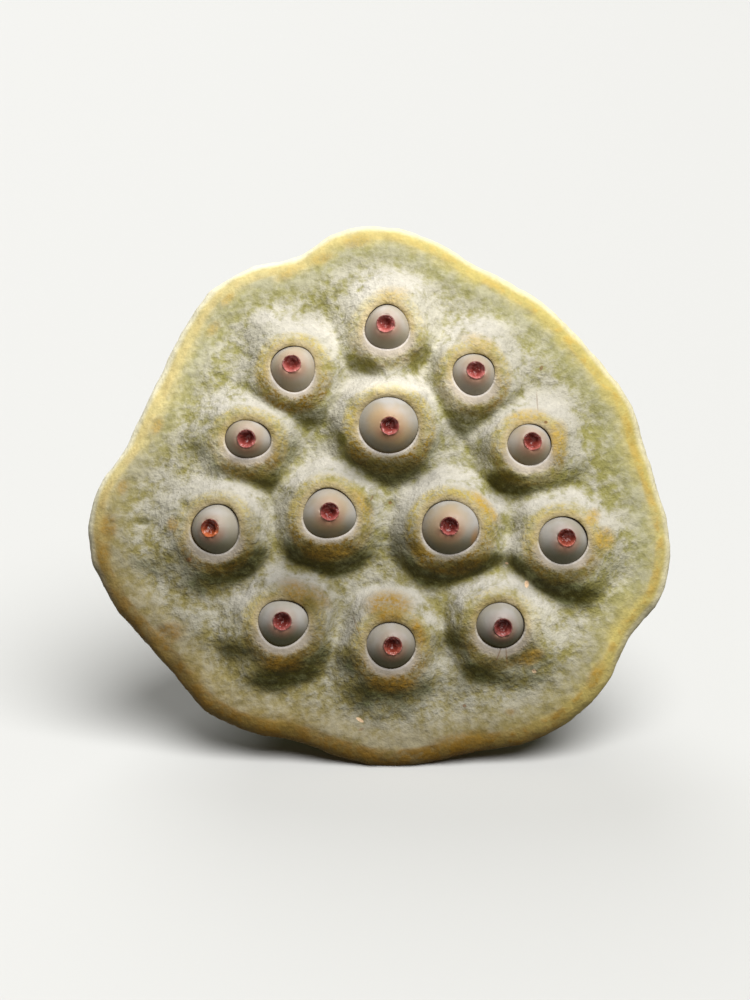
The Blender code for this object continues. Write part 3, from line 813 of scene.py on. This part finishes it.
def skin_finish():
    """Olive flesh under a felt of pale bloom, ochre round the mouths and gold at the rim.

    The bloom is thick on the tops of the mounds and on the slopes that look up, which also get a
    painted highlight, and thin on those that look down, where the flesh shows dark through it
    under painted shade. Four noises, from broad to grain, break up every edge, and curled strands
    of a fifth make the felt's wrinkles.
    """
    material, shader, place = begin_finish("bloomy_skin")
    past, edge, below = place.value("past"), place.value("edge"), place.value("below")
    part, under = place.value("part"), place.value("under")
    lift, across = place.value("lift"), place.value("across")
    bloom_and_light, ochre = place.value("bloom_and_light"), place.value("ochre")
    broad = place.noise(75.0, 2.0, 0.5)
    patch = place.noise(260.0, 3.0, 0.6)
    clump = place.noise(650.0, 3.0, 0.6)
    grain = place.noise(1700.0, 2.0, 0.6)
    sockets = {"Vector": place, "Scale": 600.0, "Detail": 1.0}
    curl = place.node("ShaderNodeTexNoise", {}, sockets, "Color")
    sockets = {0: curl, 1: (0.0016,) * 3, 2: place}
    curled = place.node("ShaderNodeVectorMath", {"operation": "MULTIPLY_ADD"}, sockets)
    tuft = strands(curled, 20.0).larger(strands(curled, -35.0)).ramp(0.42, 0.72)

    # How far down and to the left, and how far up, a place lies on the face: painted shade darkens
    # the lower left and painted light brightens the top.
    low = (lift + across * 0.4).ramp(0.3, -0.9)
    lowest = (lift + across * 0.4).ramp(-0.25, -0.9)
    high = (lift - across * 0.3).ramp(-0.2, 0.7)

    # The bloom over the flesh, more even towards the rim. Painted shade darkens the slopes that
    # look down, less so high on the face, and a painted highlight lightens those that look up.
    shade = (under + (patch - 0.5) * 0.9 + (clump - 0.5) * 0.9).ramp(0.12, 0.85)
    shade = shade * (1.0 - lift.ramp(0.0, 0.5) * 0.75)
    flesh = shade.blend(low.blend(FLESH, FLESH_LOW_SHADE), FLESH_SHADE)
    rise = (under + (patch - 0.5) * 0.5).ramp(-0.1, -0.75)
    bloom = (rise * 0.65).blend(shade.blend(BLOOM, BLOOM_SHADE), BLOOM_HIGHLIGHT)
    amount = 0.54 + (clump - 0.5) * 2.0 + (patch - 0.5) * 1.8 + (broad - 0.5) * 1.1 + bloom_and_light * 0.6
    amount = amount + (tuft - 0.5) * 0.2 - under * 0.45 + past.ramp(7.0, 3.0) * 0.15
    skin = amount.ramp(0.0, 1.0).blend(flesh, bloom)
    smooth = edge.ramp(9.0, 4.0)
    skin = (smooth * 0.55).blend(skin, low.blend(MARGIN, MARGIN_LOW_SHADE))

    # The ochre ring round each mouth, darker below it as painted shade, the tan of its lip, and the
    # pale collar under the seed, partly pale skin and partly painted light, edged by a painted
    # highlight.
    spots = (grain * 0.5 + patch * 0.5).ramp(0.45, 0.58)
    ring = (past - below * 0.5 + (patch - 0.5) * 1.6).ramp(3.4, 2.2) * past.ramp(0.2, 1.0)
    share = ochre * (0.35 + below.ramp(-0.2, 0.8) * 0.2 + spots * 0.65) * (1.0 - bloom_and_light * 1.5)
    skin = (ring * share).blend(skin, below.ramp(-0.4, 0.8).blend(OCHRE, OCHRE_BELOW_SHADED))
    tan = past.ramp(1.6, 0.4) * below.ramp(0.9, 0.2)
    skin = (tan * 0.6).blend(skin, LIP_TAN)
    pale_lit_collar = past + ochre.ramp(0.7, 0.95) * 0.8 + (patch - 0.5) * 1.6 + (grain - 0.5) * 0.8
    pale_lit_collar = pale_lit_collar.ramp(1.9, 0.8) * below.ramp(0.0, 0.75)
    skin = (pale_lit_collar * 0.9).blend(skin, COLLAR_PALE_AND_LIT)
    skin = (past.ramp(0.45, 0.2) * below.ramp(-0.2, 0.5) * 0.8).blend(skin, COLLAR_EDGE_HIGHLIGHT)

    # The gold of the rim, darker at the lower left as painted shade, its broken ochre band with the
    # stains and bruises, and a painted highlight along its hem.
    gold = (edge + (patch - 0.5) * 4.0 + (broad - 0.5) * 4.0 + low * 0.6).ramp(5.0, 1.0)
    rim = across.ramp(-0.7, 0.5).blend(RIM_LEFT, RIM_RIGHT)
    skin = (gold * 0.85).blend(skin, lowest.blend(rim, RIM_LOW_SHADE))
    band = (edge + (clump - 0.5) * 1.6 + (patch - 0.5) * 2.0).ramp(3.6, 1.4)
    band = band * edge.ramp(0.7, 1.5).larger(lowest) * (patch * 0.6 + clump * 0.4).ramp(0.44, 0.58)
    band = band * (0.25 + across.ramp(-0.2, 0.8) * 0.45 + lowest * 0.6)
    stain = place.value("stain") * (0.5 + (grain * 0.5 + clump * 0.5).ramp(0.4, 0.6) * 0.5)
    skin = stain.larger(band).blend(skin, low.blend(STAIN, STAIN_LOW_SHADE))
    # Green bruises, some of them painted shade under the mounds.
    skin = place.value("olive_and_shade").blend(skin, BRUISE_AND_SHADE)
    hem_highlight = edge.ramp(1.1, 0.3) * (lift + across * 0.15).ramp(-0.6, -0.25) * edge.ramp(-2.5, -1.0)
    skin = (hem_highlight * (0.7 + across.ramp(0.2, -0.6) * 0.3)).blend(skin, HEM_HIGHLIGHT)

    # The green flank and stalk, the cut end, and painted shade in its canals.
    green = (clump * 0.5 + broad * 0.5).ramp(0.38, 0.6).blend(FLANK_DARK, FLANK_PALE)
    skin = (part.ramp(0.2, 0.8) * edge.ramp(-1.0, -9.0)).blend(skin, green)
    skin = part.ramp(2.4, 2.9).blend(skin, CUT_END)
    skin = part.ramp(3.3, 3.8).blend(skin, CANAL_SHADE)

    # How light each spot is, with painted shade to the lower left and painted light high on the
    # face, then the flecks, the mouths' edges and painted shade in the chambers.
    tone = 0.88 + (tuft - 0.4) * (0.05 + shade * 0.15) + (clump - 0.5) * (0.35 + shade * 0.8)
    dim = low - (low - lowest) * gold
    tone = (tone + (grain - 0.5) * 0.3) * (1.0 - dim * 0.26) * (1.0 + high * 0.17)
    # Painted shade darkens the hollows, and painted light brightens the places with thick bloom.
    skin = skin.scaled(tone * (1.0 - place.value("hollow_shade")) * (1.0 + bloom_and_light))
    skin = marks(place, BROWN_FLECKS, 0.4).blend(skin, BROWN_FLECK)
    skin = marks(place, PALE_FLECKS, 0.25).blend(skin, PALE_FLECK)
    skin = past.ramp(0.06, -0.1).blend(skin, MOUTH_EDGE)
    # Painted shade deep in the chambers.
    skin = past.ramp(-0.8, -1.8).blend(skin, CHAMBER_SHADE)
    feed(shader, "Base Color", skin)
    feed(shader, "Roughness", 0.6 + clump * 0.25)
    relief = (tuft * 0.07 + clump * 0.95 + grain * 0.35) * (1.0 - smooth * 0.5) * (1.0 - pale_lit_collar * 0.6)
    feed(shader, "Normal", relief.normal(0.9, 0.0005))
    shader.inputs["Specular IOR Level"].default_value = 0.2
    shader.inputs["Sheen Weight"].default_value = 0.05
    shader.inputs["Sheen Roughness"].default_value = 0.5
    return material


receptacle = make_mesh("receptacle_skin", *receptacle_mesh())
receptacle.data.materials.append(skin_finish())
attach(receptacle, "root")
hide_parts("receptacle")


# The seeds: thirteen hard ovoid nutlets with a smooth grey coat. Each tip carries its dried
# stigma, a raised red-brown cup. They grew in the chambers and now lie loose in them, held by
# the mouths, which are narrower than the seeds.
SEED_GAP = 0.06
SEED_SIDES = 84
CUP_RADIUS = 1.5
CUP_FLARE = 0.35
CUP_TALL = 0.38
CUP_ROLL = 0.1
CUP_HOLLOW = 0.95
SEED_NODES = [f"seed_inner_{i}" for i in (1, 2, 3)] + [f"seed_outer_{i:02d}" for i in range(1, 11)]


def seed_profile(number):
    """A seed from its tip down: (radius, height from the mouth).

    The cup's dish, its rounded brim and its side come first, then half an egg with a slightly
    conical top, and the lower half of an egg.
    """
    radius = SEEDS[number, 2] * CHAMBER_SWELL - SEED_GAP
    up, down = CHAMBER_UP - SEED_GAP, CHAMBER_DOWN - SEED_GAP
    foot_radius = CUP_RADIUS + CUP_FLARE
    foot = up * (1 - (foot_radius / radius) ** (1 / EGG_ROOT)) ** (1 / EGG_POWER)
    brim_foot = foot + CUP_TALL - CUP_ROLL
    dish = np.linspace(0.06, 0.84, 12) * CUP_RADIUS
    dish_bend = np.cos(0.5 * math.pi * dish / (0.86 * CUP_RADIUS)) ** 1.1
    over = np.radians(np.linspace(-70, 90, 8))
    brim = CUP_RADIUS * (0.93 + 0.07 * np.sin(over))
    slope = np.linspace(0.12, 1, 6)
    side = CUP_RADIUS + CUP_FLARE * slope**2
    share = np.linspace(foot / up, 0, 26)[1:]
    egg = radius * (1 - share**EGG_POWER) ** EGG_ROOT
    low = np.radians(np.linspace(0, 86, 14))[1:]
    radii = np.concatenate([dish, brim, side, egg, radius * np.cos(low)])
    heights = [
        brim_foot - CUP_HOLLOW * dish_bend,
        brim_foot + CUP_ROLL * np.cos(over),
        brim_foot + (foot - brim_foot) * slope,
        up * share,
        -down * np.sin(low),
    ]
    return radii, np.concatenate(heights) - CHAMBER_DEPTH


def seed_mesh(number):
    """One seed: its profile carried round, with its mouth's outline away from the cup.

    The cup is wrinkled by two ripples. The values at each point are how far "away" from the
    seed's axis, "up" from the mouth and to which "side" it lies, how "warm" the coat and how
    "rust" red the cup is, and how high on the face the seed stands ("lift").
    """
    radii, heights = seed_profile(number)
    turn = turns_of(SEED_SIDES)
    own = np.clip((radii - CUP_RADIUS - 0.4) / 2.0, 0, 1)[:, None]
    shape = 1 + (mouth_outline(number, turn)[None, :] / SEEDS[number, 2] - 1) * own
    radius = radii[:, None] * shape
    x, y = radius * np.cos(turn), radius * np.sin(turn)
    z = heights[:, None] + 0 * x
    in_cup = np.clip((CUP_RADIUS + 0.3 - radii) / 0.3, 0, 1)[:, None]
    places = np.stack([x, y, z], -1)
    wrinkles = 0.09 * ripple(places, 1.3, seed=50 + number)
    wrinkles += 0.045 * ripple(places, 0.5, seed=70 + number)
    side = np.stack([x, y, z + in_cup * wrinkles], -1).reshape(-1, 3)
    tip = np.array([[0, 0, heights[0] - 0.06]])
    base = np.array([[0, 0, -CHAMBER_DEPTH - CHAMBER_DOWN + SEED_GAP]])
    local = np.concatenate([side, tip, base])
    rows, count = len(radii), len(side)
    ring = np.arange(SEED_SIDES)
    last = (rows - 1) * SEED_SIDES + ring
    faces = [
        grid_faces(0, rows, SEED_SIDES),
        np.stack([np.full(SEED_SIDES, count), ring, np.roll(ring, -1)], -1),
        np.stack([last, np.full(SEED_SIDES, count + 1), np.roll(last, -1)], -1),
    ]
    values = {
        "away": np.hypot(local[:, 0], local[:, 1]),
        "up": local[:, 2],
        "side": local[:, 1],
        "warm": np.full(len(local), SEEDS[number, 9]),
        "rust": np.full(len(local), SEEDS[number, 10]),
        "lift": np.full(len(local), MOUTH_Y[number] / FACE_HALF),
    }
    leaned = lean_with_seed(number, *local.T)
    return laid_down(*leaned.T), faces, values


# A stain on one inner seed, given as the marks of the face are.
COAT_STAIN = [(14.6, -7.4, 1.2, 0.5, 80, 0.5)]

# The seeds' colours as seen on a screen. The cups of the seeds high on the face catch more
# light, painted in as lighter colours, and some cups are rusty. The shade colours are painted
# shade on the lower side of each coat and on the upper wall of each cup.
COAT_DARK = linear(162, 156, 142)
COAT_PALE = linear(178, 174, 168)
COAT_SHADE = linear(80, 78, 44)
COAT_WARM = linear(190, 156, 108)
COAT_STAINED = linear(176, 118, 44)
CUP_HALO = linear(160, 104, 80)
CUP_PINK = linear(164, 86, 80)
CUP_PINK_LIT = linear(194, 116, 110)
CUP_RUST = linear(190, 100, 58)
DISH_RED = linear(116, 42, 36)
DISH_RED_LIT = linear(156, 72, 66)
DISH_RUST = linear(140, 60, 28)
DISH_SHADE = linear(90, 30, 22)


def seed_finish():
    """A smooth grey-beige coat, warm and pink towards the stigma, and the red-brown cup,
    with painted shade low on each seed and painted light on the seeds high on the face.
    """
    material, shader, place = begin_finish("seed_coat")
    away, up, side = place.value("away"), place.value("up"), place.value("side")
    warm, rust, lift = place.value("warm"), place.value("rust"), place.value("lift")
    cloud = place.noise(260.0, 2.0, 0.5)
    speck = place.noise(1900.0, 3.0, 0.6)
    coat = cloud.ramp(0.35, 0.7).blend(COAT_DARK, COAT_PALE)
    coat = (side.ramp(0.8, -3.2) * (0.75 - lift * 0.6)).blend(coat, COAT_SHADE)
    coat = (warm * (away + (cloud - 0.5) * 3.0).ramp(4.6, 2.0) * 0.8).blend(coat, COAT_WARM)
    near_tip = up.ramp(-3.0, 0.0)
    halo = away.ramp(3.1, 1.5) * near_tip * (0.25 + side.ramp(0.5, -1.5) * 0.4)
    coat = halo.blend(coat, CUP_HALO)
    coat = marks(place, COAT_STAIN, 0.9).blend(coat, COAT_STAINED)
    cup = away.ramp(1.62, 1.46) * near_tip
    top = lift.ramp(0.1, 0.6)
    pink = top.blend(rust.blend(CUP_PINK, CUP_RUST), CUP_PINK_LIT)
    red = top.blend(rust.blend(DISH_RED, DISH_RUST), DISH_RED_LIT)
    dish = (away + (speck - 0.5) * 0.8).ramp(1.3, 0.7).blend(pink, red)
    dish = ((side + speck - 0.5).ramp(-1.0, 0.7) * 0.85).blend(dish, DISH_SHADE)
    # The seeds high on the face are painted lighter, as painted light.
    feed(shader, "Base Color", cup.blend(coat, dish).scaled(1.0 + lift * 0.4))
    feed(shader, "Roughness", 0.42 + speck * 0.12 - cup * 0.15)
    feed(shader, "Coat Weight", cup * 0.2)
    feed(shader, "Normal", speck.normal(0.25, 0.0001))
    shader.inputs["Coat Roughness"].default_value = 0.15
    shader.inputs["Specular IOR Level"].default_value = 0.35
    return material


seed_coat = seed_finish()
for number, node in enumerate(SEED_NODES):
    seed = make_mesh(f"{node}_coat", *seed_mesh(number))
    seed.data.materials.append(seed_coat)
    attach(seed, "root")
    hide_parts(node)


# The stage: a plain pale floor, a large soft lamp above and in front, a weak one from behind
# that lights the flank, and a faint even sky. No light comes back from the floor.
FLOOR_REACH = 40.0
corners = np.array([(-1, -1, 0), (1, -1, 0), (1, 1, 0), (-1, 1, 0)]) * FLOOR_REACH
floor = make_mesh("floor", corners, [np.array([[0, 1, 2, 3]])], {})
material, shader, place = begin_finish("pale_floor")
shader.inputs["Base Color"].default_value = (0.56, 0.56, 0.545, 1.0)
shader.inputs["Roughness"].default_value = 0.8
floor.data.materials.append(material)
floor.visible_diffuse = False


def add_sun(name, azimuth, elevation, width, strength):
    """A distant lamp as wide as this angle, shining from a direction, with soft shadows."""
    lamp = bpy.data.lights.new(name, "SUN")
    lamp.angle = math.radians(width)
    lamp.energy = strength
    holder = bpy.data.objects.new(name, lamp)
    bpy.context.scene.collection.objects.link(holder)
    side, rise = math.radians(azimuth), math.radians(elevation)
    flat = math.cos(rise)
    way = Vector((math.sin(side) * flat, -math.cos(side) * flat, math.sin(rise)))
    holder.rotation_euler = way.to_track_quat("Z", "Y").to_euler()


add_sun("key_lamp", azimuth=28, elevation=60, width=50, strength=4.45)
add_sun("back_lamp", azimuth=195, elevation=40, width=40, strength=1.3)
world = bpy.data.worlds.new("studio")
world.use_nodes = True
sky = world.node_tree.nodes["Background"]
sky.inputs["Color"].default_value = (1.0, 0.95, 0.8, 1.0)
sky.inputs["Strength"].default_value = 0.09
bpy.context.scene.world = world
bpy.context.scene.view_settings.view_transform = "Standard"


# The camera: level with the photograph's, a little below the line square on to the face.
CAMERA_AWAY = 0.330
CAMERA_RISE = LIE_TILT - math.radians(6)
CAMERA_LENS = 72.3
camera = bpy.data.objects.new("camera", bpy.data.cameras.new("camera"))
bpy.context.scene.collection.objects.link(camera)
way = Vector((0, -math.cos(CAMERA_RISE), math.sin(CAMERA_RISE)))
camera.location = Vector(FACE_PLACE) + way * CAMERA_AWAY
camera.rotation_euler = way.to_track_quat("Z", "Y").to_euler()
camera.data.lens = CAMERA_LENS
camera.data.shift_x = -0.009
camera.data.shift_y = -0.006
camera.data.clip_start = 0.01
bpy.context.scene.camera = camera
